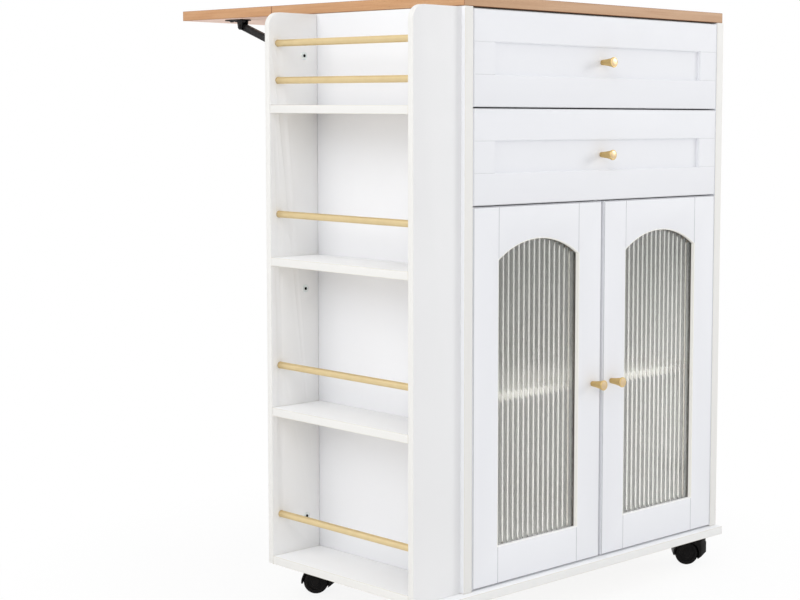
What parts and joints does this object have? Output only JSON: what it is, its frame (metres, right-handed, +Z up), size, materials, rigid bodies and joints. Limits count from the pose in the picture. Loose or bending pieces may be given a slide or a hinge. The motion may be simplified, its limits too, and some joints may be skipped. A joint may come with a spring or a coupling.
{
  "type": "drop leaf kitchen island",
  "caption": "Rolling kitchen island with drawers over fluted-glass arched doors, an open end rack with rails, and a worktop leaf on folding stays.",
  "frame": {"origin": "on the floor, under the middle of the island's bounding box with the leaf raised", "axes": "+Z up, -Y towards the drawers and doors, +X to the right as seen from the front, so the rack is at -X and the leaf at +Y"},
  "size_m": [0.65, 0.6738, 0.8798],
  "materials": {
    "white_lacquer": "satin white painted fibreboard",
    "white_board": "warm white melamine-faced board",
    "beech_top": "beech-grain laminate with matching edge band, matt",
    "satin_gold": "satin gold",
    "zinc_steel": "zinc plated",
    "black_steel": "black powder coat, satin",
    "black_plastic": "moulded, fine texture",
    "fluted_glass": "vertical reeded pattern on the front"
  },
  "bodies": {
    "cabinet": {"base_board": "white_board", "side_panel_left": "white_board", "side_panel_right": "white_board", "back_panel": "white_board", "drawer_deck": "white_board", "cupboard_shelf": "white_board", "top_rail": "white_board", "worktop": "beech_top", "rack_panel_front": "white_board", "rack_panel_rear": "white_board", "rack_bottom": "white_board", "rack_shelf_1": "white_board", "rack_shelf_2": "white_board", "rack_shelf_3": "white_board", "rack_rail_1": "satin_gold", "rack_rail_2": "satin_gold", "rack_rail_3": "satin_gold", "rack_rail_4": "satin_gold", "rack_rail_5": "satin_gold", "runner_upper_left": "zinc_steel", "runner_upper_right": "zinc_steel", "runner_lower_left": "zinc_steel", "runner_lower_right": "zinc_steel", "door_hinge_left_lower": "zinc_steel", "door_hinge_left_upper": "zinc_steel", "door_hinge_right_lower": "zinc_steel", "door_hinge_right_upper": "zinc_steel", "leaf_hinge_1_fixed": "zinc_steel", "leaf_hinge_2_fixed": "zinc_steel", "stay_left_wall_plate": "black_steel", "stay_right_wall_plate": "black_steel"},
    "leaf": {"drop_leaf": "beech_top", "leaf_hinge_1_moving": "zinc_steel", "leaf_hinge_2_moving": "zinc_steel", "stay_left_leaf_plate": "black_steel", "stay_right_leaf_plate": "black_steel"},
    "stay_left_upper": {"stay_left_upper_link": "black_steel"},
    "stay_left_lower": {"stay_left_lower_link": "black_steel"},
    "stay_right_upper": {"stay_right_upper_link": "black_steel"},
    "stay_right_lower": {"stay_right_lower_link": "black_steel"},
    "drawer_upper": {"drawer_front_upper": "white_lacquer", "drawer_box_upper": "white_board", "drawer_knob_upper": "satin_gold"},
    "drawer_lower": {"drawer_front_lower": "white_lacquer", "drawer_box_lower": "white_board", "drawer_knob_lower": "satin_gold"},
    "door_left": {"door_frame_left": "white_lacquer", "door_glass_left": "fluted_glass", "door_knob_left": "satin_gold"},
    "door_right": {"door_frame_right": "white_lacquer", "door_glass_right": "fluted_glass", "door_knob_right": "satin_gold"},
    "caster_front_left": {"caster_front_left_hood": "black_plastic"},
    "caster_front_right": {"caster_front_right_hood": "black_plastic"},
    "caster_rear_left": {"caster_rear_left_hood": "black_plastic"},
    "caster_rear_right": {"caster_rear_right_hood": "black_plastic"},
    "wheels_front_left": {"caster_front_left_wheels": "black_plastic"},
    "wheels_front_right": {"caster_front_right_wheels": "black_plastic"},
    "wheels_rear_left": {"caster_rear_left_wheels": "black_plastic"},
    "wheels_rear_right": {"caster_rear_right_wheels": "black_plastic"}
  },
  "joints": [
    {"name": "leaf_fold", "type": "hinge", "parent": "cabinet", "child": "leaf", "pos_m": [0.0435, 0.1069, 0.8615], "axis": [1, 0, 0], "range_deg": [-90, 0]},
    {"name": "stay_left_lower_pivot", "type": "hinge", "parent": "cabinet", "child": "stay_left_lower", "pos_m": [-0.206, 0.0284, 0.79], "axis": [1, 0, 0], "range_deg": [-108.8, 0]},
    {"name": "stay_left_upper_pivot", "type": "hinge", "parent": "leaf", "child": "stay_left_upper", "pos_m": [-0.206, 0.2174, 0.854], "axis": [1, 0, 0], "range_deg": [0, 113.5]},
    {"name": "stay_right_lower_pivot", "type": "hinge", "parent": "cabinet", "child": "stay_right_lower", "pos_m": [0.293, 0.0284, 0.79], "axis": [1, 0, 0], "range_deg": [-108.8, 0]},
    {"name": "stay_right_upper_pivot", "type": "hinge", "parent": "leaf", "child": "stay_right_upper", "pos_m": [0.293, 0.2174, 0.854], "axis": [1, 0, 0], "range_deg": [0, 113.5]},
    {"name": "drawer_upper_slide", "type": "slide", "parent": "cabinet", "child": "drawer_upper", "axis": [0, -1, 0], "range_m": [0, 0.22]},
    {"name": "drawer_lower_slide", "type": "slide", "parent": "cabinet", "child": "drawer_lower", "axis": [0, -1, 0], "range_m": [0, 0.22]},
    {"name": "door_left_hinge", "type": "hinge", "parent": "cabinet", "child": "door_left", "pos_m": [-0.2212, -0.3126, 0.329], "axis": [0, 0, -1], "range_deg": [0, 95]},
    {"name": "door_right_hinge", "type": "hinge", "parent": "cabinet", "child": "door_right", "pos_m": [0.3082, -0.3126, 0.329], "axis": [0, 0, 1], "range_deg": [0, 95]},
    {"name": "caster_front_left_swivel", "type": "hinge", "parent": "cabinet", "child": "caster_front_left", "pos_m": [-0.219, -0.2926, 0.042], "axis": [0, 0, 1], "continuous": true},
    {"name": "caster_front_right_swivel", "type": "hinge", "parent": "cabinet", "child": "caster_front_right", "pos_m": [0.306, -0.2926, 0.042], "axis": [0, 0, 1], "continuous": true},
    {"name": "caster_rear_left_swivel", "type": "hinge", "parent": "cabinet", "child": "caster_rear_left", "pos_m": [-0.219, -0.0016, 0.042], "axis": [0, 0, 1], "continuous": true},
    {"name": "caster_rear_right_swivel", "type": "hinge", "parent": "cabinet", "child": "caster_rear_right", "pos_m": [0.306, -0.0016, 0.042], "axis": [0, 0, 1], "continuous": true},
    {"name": "caster_front_left_spin", "type": "hinge", "parent": "caster_front_left", "child": "wheels_front_left", "pos_m": [-0.23314, -0.27846, 0.01838], "axis": [-0.7071, -0.7071, 0], "continuous": true},
    {"name": "caster_front_right_spin", "type": "hinge", "parent": "caster_front_right", "child": "wheels_front_right", "pos_m": [0.29186, -0.27846, 0.01838], "axis": [-0.7071, -0.7071, 0], "continuous": true},
    {"name": "caster_rear_left_spin", "type": "hinge", "parent": "caster_rear_left", "child": "wheels_rear_left", "pos_m": [-0.23314, 0.01254, 0.01838], "axis": [-0.7071, -0.7071, 0], "continuous": true},
    {"name": "caster_rear_right_spin", "type": "hinge", "parent": "caster_rear_right", "child": "wheels_rear_right", "pos_m": [0.29186, 0.01254, 0.01838], "axis": [-0.7071, -0.7071, 0], "continuous": true}
  ],
  "couplings": [
    {"joint": "stay_left_lower_pivot", "follows": "leaf_fold", "ratio": 1.2088},
    {"joint": "stay_left_upper_pivot", "follows": "leaf_fold", "ratio": -1.2609},
    {"joint": "stay_right_lower_pivot", "follows": "leaf_fold", "ratio": 1.2088},
    {"joint": "stay_right_upper_pivot", "follows": "leaf_fold", "ratio": -1.2609}
  ]
}
